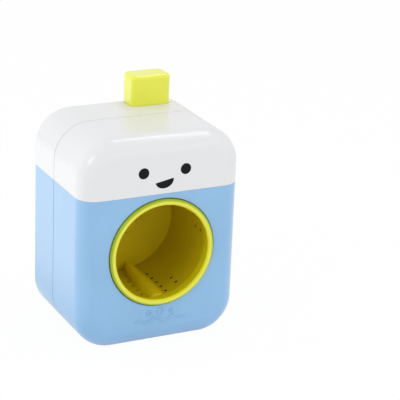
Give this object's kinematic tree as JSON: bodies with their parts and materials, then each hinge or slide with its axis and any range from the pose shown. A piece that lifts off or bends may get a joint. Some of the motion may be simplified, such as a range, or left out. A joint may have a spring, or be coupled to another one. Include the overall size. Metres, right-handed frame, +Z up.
{
  "type": "toy washing machine",
  "caption": "Rounded toy washing machine with an open perforated drum that spins on its axle and a sprung push button on top that drives it through a rack and gears.",
  "frame": {"origin": "middle of the flat base, at half the body's depth", "axes": "+Z up, the drum opens towards -Y, +X is to the right of a person who faces the drum"},
  "size_m": [0.13, 0.1042, 0.1887],
  "materials": {
    "blue_plastic": "smooth moulded, pale blue",
    "white_plastic": "smooth moulded, white",
    "lime_plastic": "smooth moulded, yellow green",
    "natural_plastic": "unpainted, slightly milky",
    "grey_plastic": "plain moulded",
    "steel": "zinc plated",
    "bronze": "sintered, dull"
  },
  "bodies": {
    "case": {"front_shell": "blue_plastic", "front_cap": "white_plastic", "rear_shell": "blue_plastic", "rear_cap": "white_plastic", "gear_plate": "grey_plastic", "idler_axle": "steel", "rear_bush": "bronze", "plate_screws": "steel", "case_screws": "steel", "return_spring": "steel"},
    "drum": {"drum_tub": "lime_plastic", "drum_ring": "lime_plastic", "ratchet_ring": "grey_plastic", "ratchet_screws": "steel", "drum_axle": "steel", "drum_washer": "steel", "drum_screw": "steel", "axle_clip": "steel"},
    "button": {"button_cap": "lime_plastic", "plunger_rack": "natural_plastic", "button_screws": "steel"},
    "compound_gear": {"compound_gear": "natural_plastic"},
    "drive_pinion": {"drive_pinion": "natural_plastic", "pawl_disc": "grey_plastic"}
  },
  "joints": [
    {"name": "button_press", "type": "slide", "parent": "case", "child": "button", "axis": [0, 0, -1], "range_m": [0, 0.016], "stiffness_N_per_m": 60, "springref_m": -0.02, "deforming": ["return_spring"]},
    {"name": "drum_spin", "type": "hinge", "parent": "case", "child": "drum", "pos_m": [0, 0, 0.075], "axis": [0, 1, 0], "continuous": true},
    {"name": "compound_gear_spin", "type": "hinge", "parent": "case", "child": "compound_gear", "pos_m": [0.015, 0, 0.09177], "axis": [0, 1, 0], "range_deg": [-1, 154]},
    {"name": "drive_pinion_spin", "type": "hinge", "parent": "case", "child": "drive_pinion", "pos_m": [0, 0, 0.075], "axis": [0, 1, 0], "range_deg": [-307, 1]}
  ],
  "couplings": [
    {"joint": "compound_gear_spin", "follows": "button_press", "rad_per_m": 166.67},
    {"joint": "drive_pinion_spin", "follows": "button_press", "rad_per_m": -333.33}
  ]
}
